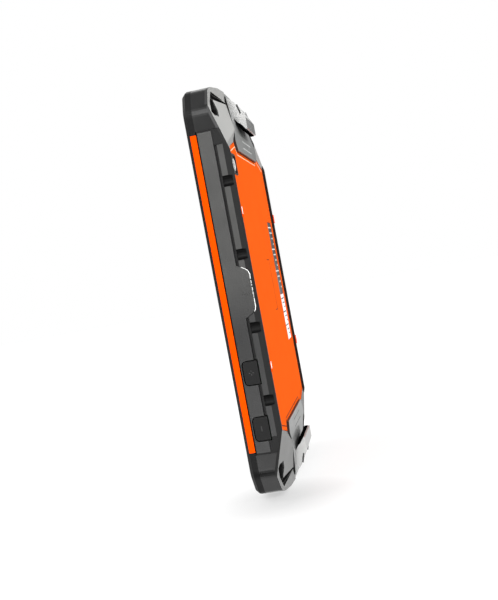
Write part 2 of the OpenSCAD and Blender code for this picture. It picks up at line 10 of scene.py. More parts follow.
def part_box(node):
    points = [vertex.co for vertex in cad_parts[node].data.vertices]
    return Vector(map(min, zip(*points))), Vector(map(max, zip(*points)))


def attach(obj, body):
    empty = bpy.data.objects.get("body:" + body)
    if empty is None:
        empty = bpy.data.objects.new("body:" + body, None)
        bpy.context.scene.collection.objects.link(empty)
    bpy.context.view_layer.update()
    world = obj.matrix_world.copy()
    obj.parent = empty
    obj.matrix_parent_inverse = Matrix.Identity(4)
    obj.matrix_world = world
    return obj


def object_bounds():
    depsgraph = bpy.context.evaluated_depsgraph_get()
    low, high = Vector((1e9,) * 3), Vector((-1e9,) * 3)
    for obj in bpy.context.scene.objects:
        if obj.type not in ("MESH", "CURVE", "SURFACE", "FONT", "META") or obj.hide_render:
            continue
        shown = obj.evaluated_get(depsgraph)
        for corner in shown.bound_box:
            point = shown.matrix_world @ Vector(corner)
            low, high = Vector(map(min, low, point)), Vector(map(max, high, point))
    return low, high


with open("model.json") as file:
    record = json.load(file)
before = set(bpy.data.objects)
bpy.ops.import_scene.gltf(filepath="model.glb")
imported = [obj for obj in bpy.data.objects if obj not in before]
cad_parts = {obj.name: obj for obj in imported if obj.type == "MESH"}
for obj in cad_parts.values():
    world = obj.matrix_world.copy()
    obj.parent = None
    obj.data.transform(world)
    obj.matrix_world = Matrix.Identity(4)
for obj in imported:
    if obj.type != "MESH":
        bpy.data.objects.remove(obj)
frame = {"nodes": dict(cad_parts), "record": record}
cad_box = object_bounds()
nodes = frame["nodes"]
slots = {part["node"]: part["material_slot"] for part in frame["record"]["subparts"]}
scene = bpy.context.scene
MM = 0.001

HALF_DEPTH = (cad_box[1].y - cad_box[0].y) / 2 / MM
HALF_LENGTH = cad_box[1].z / 2 / MM
HALF_WIDTH = cad_box[1].x / MM
COVER_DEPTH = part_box("back_cover")[1].y / MM + HALF_DEPTH

FORWARD, BACKWARD = (0, -1, 0), (0, 1, 0)
ENDS = ((1, "top"), (-1, "bottom"))
SIDES = ((1, "right"), (-1, "left"))


def at(x, depth, z):
    """Point from millimetres: across, behind the front face, above the middle."""
    return Vector((x, depth - HALF_DEPTH, z + HALF_LENGTH)) * MM


# ---------------------------------------------------------------- camera

LENS_MM = 52.6
SENSOR_MM = 36
CAMERA_AT = Vector((549.2, 80.35, 130.2)) * MM
CAMERA_SWING = math.radians(9.11)
CAMERA_DROP = math.radians(1.98)
CAMERA_ROLL = math.radians(10.6)


def make_camera():
    """Looks at the right-hand side from slightly behind and above, with the top leaning left."""
    a, e, r = CAMERA_SWING, CAMERA_DROP, CAMERA_ROLL
    back = Vector((math.cos(a) * math.cos(e), math.sin(a) * math.cos(e), math.sin(e)))
    right = Vector((-math.sin(a), math.cos(a), 0))
    up = back.cross(right)
    x = right * math.cos(r) - up * math.sin(r)
    y = up * math.cos(r) + right * math.sin(r)
    data = bpy.data.cameras.new("photo_camera")
    data.lens = LENS_MM
    data.sensor_width = SENSOR_MM
    data.clip_start, data.clip_end = 0.01, 20
    camera = bpy.data.objects.new("photo_camera", data)
    camera.matrix_world = Matrix((x, y, back)).transposed().to_4x4()
    camera.location = CAMERA_AT
    scene.collection.objects.link(camera)
    scene.camera = camera


# ---------------------------------------------------------------- shader nodes

def srgb(rgb):
    """Linear colour of an 8-bit sRGB one."""
    out = []
    for v in rgb:
        v /= 255
        out.append(v / 12.92 if v <= 0.04045 else ((v + 0.055) / 1.055) ** 2.4)
    return (*out, 1)


def noise(tree, coord, scale, detail, stretch=(1, 1, 1)):
    """Noise in the object's own metres; returns its value."""
    mapping = tree.nodes.new("ShaderNodeMapping")
    mapping.inputs["Scale"].default_value = stretch
    texture = tree.nodes.new("ShaderNodeTexNoise")
    texture.inputs["Scale"].default_value = scale
    texture.inputs["Detail"].default_value = detail
    tree.links.new(coord.outputs["Object"], mapping.inputs["Vector"])
    tree.links.new(mapping.outputs["Vector"], texture.inputs["Vector"])
    return texture.outputs["Fac"]


def remap(tree, value, start, stop, low=0.0, high=1.0):
    """Maps start..stop of a value to low..high, and holds it at those outside."""
    node = tree.nodes.new("ShaderNodeMapRange")
    for key, number in (("From Min", start), ("From Max", stop), ("To Min", low), ("To Max", high)):
        node.inputs[key].default_value = number
    tree.links.new(value, node.inputs["Value"])
    return node.outputs["Result"]


NOISE_MIDDLE = (0.3, 0.7)


def spread(tree, value, low, high):
    """Maps the middle of a noise, where nearly all of it lies, to low..high."""
    return remap(tree, value, *NOISE_MIDDLE, low, high)


def along(tree, vector, axis):
    """One coordinate of a vector output."""
    node = tree.nodes.new("ShaderNodeSeparateXYZ")
    tree.links.new(vector, node.inputs["Vector"])
    return node.outputs[axis]


def reckon(tree, operation, value, second=None):
    """Result of a maths node on a value and, where it takes one, a second value or number."""
    node = tree.nodes.new("ShaderNodeMath")
    node.operation = operation
    tree.links.new(value, node.inputs[0])
    if isinstance(second, bpy.types.NodeSocket):
        tree.links.new(second, node.inputs[1])
    elif second is not None:
        node.inputs[1].default_value = second
    return node.outputs["Value"]


def blend(tree, amount, first, second):
    """Colour mixed between two colours or colour outputs.

    Sockets 6 and 7 are the two colours a Mix node takes in, and 2 is the one it gives out.
    """
    node = tree.nodes.new("ShaderNodeMix")
    node.data_type = "RGBA"
    tree.links.new(amount, node.inputs["Factor"])
    for socket, colour in zip((node.inputs[6], node.inputs[7]), (first, second)):
        if isinstance(colour, bpy.types.NodeSocket):
            tree.links.new(colour, socket)
        else:
            socket.default_value = colour
    return node.outputs[2]


# ---------------------------------------------------------------- materials

MOTTLE_SCALE = 55
SCUFF_SCALE = 420
SCUFF_STRETCH = (1, 1, 0.25)
SCUFF_RANGE = (0.66, 0.8)           # noise levels between which a scuff appears
# Ranges of the masks of painted shade: faces turned to the front, walls, and the lower half
UNDER_SHADE_RANGE = (-0.35, -0.15)        # depth part of the normal of faces turned to the front
WALL_SHADE_RANGE = (0.35, 0.6)           # size of the depth part of the normal, from wall to face
LOW_END_SHADE_RANGE = (HALF_LENGTH - 18, HALF_LENGTH + 4)


def material(name, rgb, rough, metal=0.0, grain=2400, bump=0.02, mottle=0.06, vary=0.06,
             wear=0.0, stretch=(1, 1, 1), flank=None, under=None, low_end=None, **sockets):
    """Principled surface with moulded grain, faint mottling, uneven sheen and scuffs.

    rgb is an 8-bit sRGB colour, or a linear one with four numbers; bump is in millimetres.
    The three colours after stretch are painted shade: on walls that do not face the front
    or the back, on faces turned towards the front, and darkening the lower half.
    """
    mat = bpy.data.materials.new(name)
    mat.use_nodes = True
    tree = mat.node_tree
    bsdf = tree.nodes["Principled BSDF"]
    coord = tree.nodes.new("ShaderNodeTexCoord")
    fine = noise(tree, coord, grain, 3, stretch)
    broad = noise(tree, coord, MOTTLE_SCALE, 4)
    base = (rgb if len(rgb) == 4 else srgb(rgb))[:3]
    light = (*(min(c * (1 + mottle), 1) for c in base), 1)
    deep = (*(c * (1 - mottle) for c in base), 1)
    colour = blend(tree, spread(tree, broad, 0, 1), deep, light)
    if wear:
        scuff = noise(tree, coord, SCUFF_SCALE, 6, SCUFF_STRETCH)
        pale = (*(min(c * 1.5 + 0.04, 1) for c in base), 1)
        colour = blend(tree, remap(tree, scuff, *SCUFF_RANGE, 0, wear), colour, pale)
    # Painted shade: the colour darkens below the middle, towards the bottom
    if low_end:
        height = along(tree, coord.outputs["Object"], "Z")
        upper = remap(tree, height, *(z * MM for z in LOW_END_SHADE_RANGE))
        colour = blend(tree, upper, srgb(low_end), colour)
    if under or flank:
        shape = tree.nodes.new("ShaderNodeNewGeometry")
        facing = along(tree, shape.outputs["True Normal"], "Y")
    # Painted shade on faces turned towards the front
    if under:
        colour = blend(tree, remap(tree, facing, *UNDER_SHADE_RANGE), srgb(under), colour)
    # Painted shade on walls that face neither the front nor the back
    if flank:
        flat = remap(tree, reckon(tree, "ABSOLUTE", facing), *WALL_SHADE_RANGE)
        colour = blend(tree, flat, srgb(flank), colour)
    tree.links.new(colour, bsdf.inputs["Base Color"])
    tree.links.new(spread(tree, broad, rough - vary, rough + vary), bsdf.inputs["Roughness"])
    relief = tree.nodes.new("ShaderNodeBump")
    relief.inputs["Strength"].default_value = 1.0
    relief.inputs["Distance"].default_value = bump * MM
    tree.links.new(fine, relief.inputs["Height"])
    tree.links.new(relief.outputs["Normal"], bsdf.inputs["Normal"])
    bsdf.inputs["Metallic"].default_value = metal
    for key, value in sockets.items():
        bsdf.inputs[key.replace("_", " ")].default_value = value
    return mat


BORDER_SIDE, BORDER_END = 3 * MM, 4 * MM


def screen_material():
    """Dark cover glass with a printed black border round the display."""
    low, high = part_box("touch_display")
    mat = material("screen_glass", (9, 10, 11), 0.06, grain=300, bump=0.0004, mottle=0.02,
                   vary=0.02, Specular_IOR_Level=0.1)
    tree = mat.node_tree
    coord = tree.nodes.new("ShaderNodeTexCoord")
    inside = None
    for axis, start, stop in (("X", low.x + BORDER_SIDE, high.x - BORDER_SIDE),
                              ("Z", low.z + BORDER_END, high.z - BORDER_END)):
        place = along(tree, coord.outputs["Object"], axis)
        for operation, edge in (("GREATER_THAN", start), ("LESS_THAN", stop)):
            test = reckon(tree, operation, place, edge)
            inside = reckon(tree, "MULTIPLY", inside, test) if inside else test
    colour = blend(tree, inside, srgb((6, 6, 7)), srgb((24, 27, 31)))
    tree.links.new(colour, tree.nodes["Principled BSDF"].inputs["Base Color"])
    return mat


LOOKS = {
    "dark_shell": dict(rgb=(15, 15, 15), rough=0.5, bump=0.03, wear=0.25,
                       Specular_IOR_Level=0.2),
    "bezel_rubber": dict(rgb=(12, 12, 12), rough=0.45, bump=0.02, wear=0.2,
                         Specular_IOR_Level=0.12),
    "bumper_rubber": dict(rgb=(12, 12, 12), rough=0.3, bump=0.012, wear=0.2,
                          Specular_IOR_Level=0.32),
    # The cap and plate looks carry a colour of painted shade for their walls
    "cap_grey": dict(rgb=(143, 143, 141), rough=0.45, bump=0.02, wear=0.2, flank=(16, 16, 16),
                     Specular_IOR_Level=0.5),
    "cap_painted_shade": dict(rgb=(107, 107, 106), rough=0.45, bump=0.02, wear=0.2, flank=(16, 16, 16),
                       Specular_IOR_Level=0.4),
    "plate_grey": dict(rgb=(118, 119, 118), rough=0.4, bump=0.02, wear=0.2, flank=(30, 30, 30),
                       Specular_IOR_Level=0.5),
    # The side panels' look darkens towards the bottom: painted shade
    "side_grey": dict(rgb=(56, 56, 55), rough=0.32, grain=1500, bump=0.08, wear=0.3,
                      low_end=(29, 29, 29), Specular_IOR_Level=0.42),
    "orange_trim": dict(rgb=(0.69, 0.055, 0.0006, 1), rough=0.5, bump=0.015, mottle=0.03,
                        Specular_IOR_Level=0.0),
    "orange_cover": dict(rgb=(0.7, 0.094, 0.0095, 1), rough=0.6, bump=0.02, mottle=0.03,
                         wear=0.05, Specular_IOR_Level=0.0),
    # The hook looks carry a colour of painted shade for faces turned towards the front
    "hook_steel": dict(rgb=(205, 205, 204), rough=0.24, metal=0.85, grain=900, bump=0.004,
                       stretch=(0.15, 1, 1), wear=0.2, under=(10, 10, 10)),
    "hook_painted_shade": dict(rgb=(178, 178, 177), rough=0.42, metal=0.7, grain=900, bump=0.004,
                      stretch=(0.15, 1, 1), wear=0.2, under=(10, 10, 10)),
    "screw_steel": dict(rgb=(150, 150, 152), rough=0.32, metal=1.0, grain=1500, bump=0.004),
    "display": dict(rgb=(20, 22, 26), rough=0.3, grain=600, bump=0.001),
    "seal_rubber": dict(rgb=(24, 24, 24), rough=0.7, bump=0.02),
    "frame_metal": dict(rgb=(160, 162, 165), rough=0.45, metal=0.9, grain=700, bump=0.01),
    "battery": dict(rgb=(34, 35, 38), rough=0.5, bump=0.01),
    "board": dict(rgb=(16, 92, 52), rough=0.4, grain=500, bump=0.01),
    "tin": dict(rgb=(190, 190, 190), rough=0.35, metal=1.0, grain=800, bump=0.004),
    "antenna": dict(rgb=(206, 196, 164), rough=0.6, bump=0.01),
    "button_dark": dict(rgb=(20, 20, 20), rough=0.55, bump=0.012, wear=0.15,
                        Specular_IOR_Level=0.15),
    "door_dark": dict(rgb=(46, 47, 47), rough=0.5, bump=0.03, wear=0.2,
                      Specular_IOR_Level=0.35),
    "lens": dict(rgb=(7, 8, 12), rough=0.08, grain=300, bump=0.0003, vary=0.02,
                 Coat_Weight=0.6),
    "camera_black": dict(rgb=(17, 17, 18), rough=0.45, bump=0.01),
    "status_lens": dict(rgb=(120, 170, 125), rough=0.15, grain=600, bump=0.001, vary=0.04),
    "label_dark": dict(rgb=(52, 58, 60), rough=0.4, grain=900, bump=0.002, wear=0.3),
    "label_white": dict(rgb=(235, 236, 236), rough=0.45, grain=900, bump=0.002),
}
MATERIALS = {key: material(key, **look) for key, look in LOOKS.items()}
MATERIALS["cover_glass"] = screen_material()


def paint(name, rgb, rough, bump=0.002, **more):
    """Fine-grained material of a small mesh piece."""
    return material(name, rgb, rough, grain=900, bump=bump, **more)


# Black for the pockets and the gaps beside the plates: painted shade
BLACK_SHADE = paint("pocket_shade_lining", (4, 4, 4), 0.42, 0.004, Specular_IOR_Level=0.11)
# Black for the hooks' mouths: painted shade
MOUTH_SHADE = paint("hook_mouth_shade", (3, 3, 3), 0.9, 0.004, Specular_IOR_Level=0.0)
# Dark ink for print and the camera frame, also painted shade in the hook slits
INK_AND_SHADE = paint("dark_ink_and_shade", (13, 13, 13), 0.5)
# Bright metal for the camera rings, also painted highlight on the bulges and clips
SILVER_AND_HIGHLIGHT = paint("silver_and_highlight", (236, 236, 234), 0.25, 0.003, metal=0.5, wear=0.2)
# Pale ink for print, also painted highlight on the lines of the top plate
PALE_INK_AND_HIGHLIGHT = paint("pale_ink_and_highlight", (205, 207, 206), 0.5)
# Painted shade for the door ridges and the lines of the bottom plate
GROOVE_SHADE = paint("groove_shade", (24, 24, 24), 0.6)
# Dark seam lines: joints, with painted shade on the bottom seam of the cover
SEAM_JOINT_AND_SHADE = paint("seam_joint_and_shade", (96, 33, 8), 0.8, Specular_IOR_Level=0.1)
MARK = paint("key_mark", (44, 44, 44), 0.6)
# Painted highlight on the top seam of the cover
SEAM_HIGHLIGHT = paint("seam_painted_highlight", (255, 196, 158), 0.5)

# Nodes that differ from the look of their material slot; the looks of the bottom end cap
# and bottom hook are darker copies of the top ones, as painted shade; the hook's is also rougher
SPECIAL = {"front_bezel": "bezel_rubber", "strap_hook_bottom": "hook_painted_shade",
           "end_cap_bottom": "cap_painted_shade"}


def paint_nodes():
    """Gives each CAD node the material of its slot."""
    for name, obj in nodes.items():
        obj.data.materials.clear()
        obj.data.materials.append(MATERIALS[SPECIAL.get(name, slots[name])])


# Radius of the moulded edges in millimetres, and the nodes that have it
ROUNDED = {
    0.5: ("bumper_top", "bumper_bottom"),
    0.3: ("end_cap_top", "end_cap_bottom", "front_bezel"),
    0.25: ("end_plate_top", "end_plate_bottom", "strap_hook_top", "strap_hook_bottom",
           "side_panel_right", "side_panel_left", "rear_housing", "back_cover",
           "volume_up_button", "volume_down_button"),
    0.2: ("rail_right", "rail_left", "usb_door", "power_door"),
    0.15: ("trim_right", "trim_left", "power_key", "home_key", "menu_key"),
    0.1: ("cover_clips",),
}
SHARP_FROM = math.radians(28)


def round_edges():
    """Softens the moulded edges of the shells a little."""
    for radius, names in ROUNDED.items():
        for name in names:
            bevel = nodes[name].modifiers.new("soft_edges", "BEVEL")
            bevel.width = radius * MM
            bevel.segments = 2
            bevel.limit_method = "ANGLE"
            bevel.angle_limit = SHARP_FROM


# ---------------------------------------------------------------- mesh pieces

def piece(name, bm, mat, body):
    """Links a built mesh, paints it and lets it ride on a body."""
    bmesh.ops.remove_doubles(bm, verts=bm.verts, dist=1e-7)
    bmesh.ops.recalc_face_normals(bm, faces=bm.faces)
    mesh = bpy.data.meshes.new(name)
    bm.to_mesh(mesh)
    bm.free()
    mesh.materials.append(mat)
    obj = bpy.data.objects.new(name, mesh)
    scene.collection.objects.link(obj)
    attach(obj, body)


def loft(bm, rings, closed=False):
    """Joins rings of points into a skin; closed joins the last to the first, else it is capped."""
    rows = [[bm.verts.new(p) for p in ring] for ring in rings]
    pairs = list(zip(rows, rows[1:])) + ([(rows[-1], rows[0])] if closed else [])
    for a, b in pairs:
        for i in range(len(a)):
            j = (i + 1) % len(a)
            bm.faces.new((a[i], a[j], b[j], b[i]))
    if not closed:
        bm.faces.new(list(reversed(rows[0])))
        bm.faces.new(rows[-1])


SHOULDER = 0.6      # height and half width of a bead's shoulder, as shares of its own
MITRE_LIMIT = 0.4


def bead(bm, points, normal, width, height, sunk=0.1, closed=False):
    """Low raised line with chamfered shoulders along points; sizes in millimetres."""
    normal = Vector(normal).normalized()
    count = len(points)
    rings = []
    for i, p in enumerate(points):
        before = points[(i - 1) % count] if closed or i else None
        after = points[(i + 1) % count] if closed or i < count - 1 else None
        sides = []
        if before is not None:
            sides.append(normal.cross((p - before).normalized()))
        if after is not None:
            sides.append(normal.cross((after - p).normalized()))
        side = sum(sides, Vector()).normalized()
        side *= 1 / max(side.dot(sides[0]), MITRE_LIMIT)
        half = width / 2 * MM
        top = normal * height * MM
        shoulder = normal * height * SHOULDER * MM
        foot = normal * -sunk * MM
        rings.append([
            p + side * half + foot, p + side * half + shoulder, p + side * half * SHOULDER + top,
            p - side * half * SHOULDER + top, p - side * half + shoulder, p - side * half + foot,
        ])
    loft(bm, rings, closed)


def turned(bm, centre, axis, profile, steps=32):
    """Turned ring or disc: profile of (radius, height) in millimetres, height along axis."""
    axis = Vector(axis).normalized()
    u = axis.orthogonal().normalized()
    v = axis.cross(u)
    rings = []
    for i in range(steps):
        turn = 2 * math.pi * i / steps
        way = u * math.cos(turn) + v * math.sin(turn)
        rings.append([centre + (way * r + axis * h) * MM for r, h in profile])
    loft(bm, rings, closed=True)


PRINT_CHAMFER = 0.01 * MM


def bar(bm, low, high):
    """Printed bar between two corner points, with its edges chamfered all round."""
    c = PRINT_CHAMFER
    rings = []
    for inset, y in ((c, low.y), (0, low.y + c), (0, high.y - c), (c, high.y)):
        rings.append([
            Vector((low.x + inset, y, low.z + inset)), Vector((high.x - inset, y, low.z + inset)),
            Vector((high.x - inset, y, high.z - inset)), Vector((low.x + inset, y, high.z - inset)),
        ])
    loft(bm, rings)


# Half of the ridge at each end of the cover, and the bracket in its middle: across, height
COVER_RIDGE = ((66, 77.3), (40.3, 83.4), (36.3, 79))
COVER_BRACKET = ((-8, 15.5), (-18, 15.5), (-18, -17), (-8, -17))


def cover_details():
    """Shallow lines moulded in the back cover: two seams and a dark bracket line.

    The top seam is a painted highlight; the bottom one is dark, a joint with painted shade.
    """
    ridge = [*COVER_RIDGE, *((-x, z) for x, z in reversed(COVER_RIDGE))]
    for (end, word), mat in zip(ENDS, (SEAM_HIGHLIGHT, SEAM_JOINT_AND_SHADE)):
        bm = bmesh.new()
        bead(bm, [at(x, COVER_DEPTH, end * z) for x, z in ridge], BACKWARD, 0.6, 0.06)
        piece(f"cover_seam_{word}", bm, mat, "device")
    bm = bmesh.new()
    bead(bm, [at(x, COVER_DEPTH, z) for x, z in COVER_BRACKET], BACKWARD, 0.5, 0.05)
    piece("cover_bracket_line", bm, SEAM_JOINT_AND_SHADE, "device")


PLATE_LINE_SPAN = (14, -20)
PLATE_LINE_HEIGHTS = (85, 89.3)


def plate_details():
    """Pairs of engraved-looking lines on the plates under the hooks.

    On the top plate they are light, a painted highlight; on the bottom one dark, painted shade.
    """
    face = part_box("end_plate_top")[1].y / MM + HALF_DEPTH
    for (end, word), mat in zip(ENDS, (PALE_INK_AND_HIGHLIGHT, GROOVE_SHADE)):
        bm = bmesh.new()
        for z in PLATE_LINE_HEIGHTS:
            line = [at(x, face, end * z) for x in PLATE_LINE_SPAN]
            bead(bm, line, BACKWARD, 0.4, 0.04)
        piece(f"plate_lines_{word}", bm, mat, "device")


PLATE_SLOPE = 0.16      # fall of the plate towards the end of the device
PLATE_BEND = 27.5       # distance from the end at which that slope starts
PLATE_EDGE = ((38.75, 93.3), (35.1, 99.1), (30, 108), (26.2, 115.5))


def plate_top(z):
    """Depth of the raised plate under a hook at height z above the middle."""
    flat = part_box("end_plate_top")[1].y / MM + HALF_DEPTH
    return flat - PLATE_SLOPE * max(z - HALF_LENGTH + PLATE_BEND, 0)


def plate_gap_shades():
    """Black bead in the gap beside each raised plate: painted shade in that gap."""
    for end, word in ENDS:
        bm = bmesh.new()
        for side, _ in SIDES:
            line = [at(side * x, plate_top(z) + 0.1, end * z) for x, z in PLATE_EDGE]
            bead(bm, line, BACKWARD, 1.0, 0.4, sunk=1.6)
        piece(f"plate_gap_shade_{word}", bm, BLACK_SHADE, "device")


# Outline of a shade block: depth, distance from the end of the device
MOUTH_SHADE_OUTLINE = ((22.5, 18.3), (24.2, 19.65), (26.15, 22.6), (26.15, 22.95), (23.9, 22.95),
                   (22.6, 20.6), (21.9, 18.8))
MOUTH_SHADE_HALF_WIDTH = 17.6


def hook_mouth_shade_blocks():
    """Black blocks on the inside of the lips of the hooks: painted shade in the hooks' mouths."""
    for end, word in ENDS:
        bm = bmesh.new()
        rings = [[at(x, depth, end * (HALF_LENGTH - back)) for depth, back in MOUTH_SHADE_OUTLINE]
                 for x in (-MOUTH_SHADE_HALF_WIDTH, MOUTH_SHADE_HALF_WIDTH)]
        loft(bm, rings)
        piece(f"hook_mouth_shade_block_{word}", bm, MOUTH_SHADE, "device")


# Outline of a slit insert: depth from the top of the hook, distance from the end of the device
SLIT_OUTLINE = ((-4.55, 7.55), (-2.98, 13.1), (-2.15, 12.75), (-3.72, 6.98))
SLIT_INSETS = (1.65, 0.25)


def hook_slit_shades():
    """Dark inserts in the relief slits of the strap hooks: painted shade seen through the slits."""
    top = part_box("strap_hook_top")[1].y / MM + HALF_DEPTH
    half_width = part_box("strap_hook_top")[1].x / MM
    for end, word in ENDS:
        bm = bmesh.new()
        for side, _ in SIDES:
            rings = [[at(side * (half_width - inset), top + depth, end * (HALF_LENGTH - z))
                      for depth, z in SLIT_OUTLINE] for inset in SLIT_INSETS]
            loft(bm, rings)
        piece(f"hook_slit_shade_{word}", bm, INK_AND_SHADE, "device")


# Runs of the painted edge highlight of a side panel: depth, height above the middle
EDGE_GLINT_RUNS = (
    ((16.4, 13.4), (18.2, 12.4), (19.8, 11), (20.4, 9), (20.4, 6.4)),
    ((20.4, 5.6), (20.4, 3.9)), ((20.4, 3.3), (20.4, 2.6)), ((20.4, 1.8), (20.4, -0.2)),
    ((20.4, -0.8), (20.4, -2.4)), ((20.4, -3), (20.4, -3.6)),
    ((20.4, -4.2), (20.4, -9), (19.8, -11), (19.2, -11.5)),
)
EDGE_GLINT_INSET, EDGE_GLINT_SHIFT = 0.34, 0.14


def bulge_edge_glints():
    """Bright beads round the back of the bulge of each side panel, broken by small gaps.

    They are a painted highlight along that edge.
    """
    for side, word in SIDES:
        bm = bmesh.new()
        for run in EDGE_GLINT_RUNS:
            line = [at(side * (HALF_WIDTH - EDGE_GLINT_INSET), depth + EDGE_GLINT_SHIFT, z)
                    for depth, z in run]
            bead(bm, line, (side, 0, 0), 0.55, 0.3, sunk=0.9)
        piece(f"bulge_edge_glint_{word}", bm, SILVER_AND_HIGHLIGHT, "device")


POCKET_REACH, POCKET_RADIUS, POCKET_PITCH = 2.2, 3.6, 41.0
POCKET_PLACES = (-1.5, -0.5, 0.5, 1.5)      # from the middle, in pitches
LINING_GAP, LINING_THICKNESS = 0.04, 0.12
LINING_TAPER = 0.95         # breadth of the lining's free face, as a share of its back
LINING_DEPTHS = (15.6, 19.0, 21.05)
RAIL_INSET = 0.42           # of the rail's face behind the widest part of the device
RAIL_BEVEL_FROM = 19.0      # depth at which the rail's bevel starts
RAIL_BEVEL_SLOPE = 0.265


def pocket_shade_liners():
    """Satin black lining in each accessory pocket of both sides: painted shade in the pockets."""
    r = POCKET_RADIUS - LINING_GAP
    middle = HALF_WIDTH + POCKET_RADIUS - POCKET_REACH
    for side, word in SIDES:
        bm = bmesh.new()
        for k in POCKET_PLACES:
            rings = []
            for depth in LINING_DEPTHS:
                edge = RAIL_INSET + RAIL_BEVEL_SLOPE * max(depth - RAIL_BEVEL_FROM, 0)
                half = math.sqrt(r * r - (POCKET_RADIUS - POCKET_REACH + edge) ** 2)
                sweep = [half * (i / 8 - 1) for i in range(17)]
                wall = [(middle - math.sqrt(r * r - z * z), z) for z in sweep]
                rings.append(
                    [at(side * x, depth, k * POCKET_PITCH + z) for x, z in wall]
                    + [at(side * (x + LINING_THICKNESS), depth,
                          k * POCKET_PITCH + z * LINING_TAPER) for x, z in reversed(wall)])
            loft(bm, rings)
        piece(f"pocket_shade_lining_{word}", bm, BLACK_SHADE, "device")


MARK_REACH = 1.5 * MM
MINUS = (((0, -1), (0, 1)),)
PLUS = (*MINUS, ((-1, 0), (1, 0)))


def button_details():
    """Plus and minus marks of the volume buttons."""
    for body, node, strokes in (
        ("volume_up", "volume_up_button", PLUS), ("volume_down", "volume_down_button", MINUS)
    ):
        low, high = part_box(node)
        middle = (low + high) / 2
        bm = bmesh.new()
        for stroke in strokes:
            line = [Vector((high.x - 0.03 * MM, middle.y + y * MARK_REACH,
                            middle.z + z * MARK_REACH)) for y, z in stroke]
            bead(bm, line, (1, 0, 0), 0.45, 0.03)
        piece(f"{body}_mark", bm, MARK, body)


LABEL_MARGIN_LEFT, LABEL_MARGIN_RIGHT = 1.5, 2
PRINT_SUNK, PRINT_RAISED = 0.05, 0.03


def label_print(low, high, count, first, pitch, height, step, stride, cycle):
    """Printed bars on a label, one under another; sizes in millimetres.

    The right-hand ends are cut short by a multiple of step, which runs through a cycle.
    """
    bm = bmesh.new()
    left = low.x + LABEL_MARGIN_LEFT * MM
    for i in range(count):
        z = high.z - (first + i * pitch) * MM
        right = high.x - (LABEL_MARGIN_RIGHT + step * (i * stride % cycle)) * MM
        bar(bm, Vector((left, high.y - PRINT_SUNK * MM, z - height * MM)),
            Vector((right, high.y + PRINT_RAISED * MM, z)))
    return bm


def label_details():
    """Plain printed bars on the two labels, with no words."""
    low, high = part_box("white_label")
    bm = label_print(low, high, 9, first=2.5, pitch=3.1, height=0.8, step=5, stride=7, cycle=3)
    piece("white_label_print", bm, INK_AND_SHADE, "device")
    low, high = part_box("dark_label")
    bm = label_print(low, high, 12, first=3, pitch=3.8, height=0.9, step=4, stride=5, cycle=4)
    piece("dark_label_print", bm, PALE_INK_AND_HIGHLIGHT, "device")


# Profiles of turned pieces: radius, height
LENS_BEZEL = ((2.6, -0.1), (3.5, -0.1), (3.5, 0.15), (3.3, 0.25), (2.8, 0.25), (2.6, 0.1))
LENS_RING = ((1.3, -0.1), (1.9, -0.1), (1.9, 0.05), (1.3, 0.05))
FLASH_DOME = ((0.01, -0.1), (1.3, -0.1), (1.3, 0.05), (0.9, 0.15), (0.01, 0.2))
LENS_SHIFT = 2 * MM         # of the lens from the middle of its window
FLASH_AT = Vector((6.3 * MM, 0, 1.6 * MM))
WINDOW_MARGIN, WINDOW_RADIUS = 0.2, 1.6


def window_outline(low, high):
    """Rounded outline on the cover's face round the rear camera window."""
    margin = Vector((WINDOW_MARGIN, 0, WINDOW_MARGIN)) * MM
    a, b = low - margin, high + margin
    y = (COVER_DEPTH - HALF_DEPTH) * MM
    corners = ((b.x, b.z, -1, -1, 0), (a.x, b.z, 1, -1, 90),
               (a.x, a.z, 1, 1, 180), (b.x, a.z, -1, 1, 270))
    outline = []
    for x, z, inward_x, inward_z, start in corners:
        for i in range(7):
            turn = math.radians(start + 15 * i)
            outline.append(Vector((x + (inward_x + math.cos(turn)) * WINDOW_RADIUS * MM, y,
                                   z + (inward_z + math.sin(turn)) * WINDOW_RADIUS * MM)))
    return outline


def camera_details():
    """Bezel rings of the rear camera, its flash, and the front camera."""
    low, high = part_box("camera_window")
    lens = Vector(((low.x + high.x) / 2 - LENS_SHIFT, high.y, (low.z + high.z) / 2))
    bm = bmesh.new()
    turned(bm, lens, BACKWARD, LENS_BEZEL, 40)
    turned(bm, lens, BACKWARD, LENS_RING)
    piece("rear_camera_ring", bm, SILVER_AND_HIGHLIGHT, "device")
    bm = bmesh.new()
    bead(bm, window_outline(low, high), BACKWARD, 1.1, 0.12, sunk=0.4, closed=True)
    piece("rear_camera_frame", bm, INK_AND_SHADE, "device")
    bm = bmesh.new()
    turned(bm, lens + FLASH_AT, BACKWARD, FLASH_DOME, 24)
    piece("rear_flash", bm, MATERIALS["antenna"], "device")
    low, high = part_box("front_camera_lens")
    middle = (low + high) / 2
    radius = (high.x - low.x) / 2 / MM
    inner, outer = radius - 0.9, radius - 0.2
    bm = bmesh.new()
    turned(bm, Vector((middle.x, low.y, middle.z)), FORWARD,
           ((inner, -0.1), (outer, -0.1), (outer, 0.06), (inner, 0.06)), 40)
    piece("front_camera_ring", bm, SILVER_AND_HIGHLIGHT, "device")


# Strokes of the front keys' marks: across, height
POWER_ARC = tuple((math.sin(turn) * 1.5, math.cos(turn) * 1.5)
                  for turn in (math.radians(35 + 29 * i) for i in range(11)))
KEY_MARKS = {
    "power_key": (POWER_ARC, ((0, 0.2), (0, 1.9))),
    "home_key": (((-1.7, 0.1), (0, 1.7), (1.7, 0.1)),
                 ((-1.2, 0.2), (-1.2, -1.5), (1.2, -1.5), (1.2, 0.2))),
    "menu_key": tuple(((-1.6, z), (1.6, z)) for z in (1.2, 0, -1.2)),
}


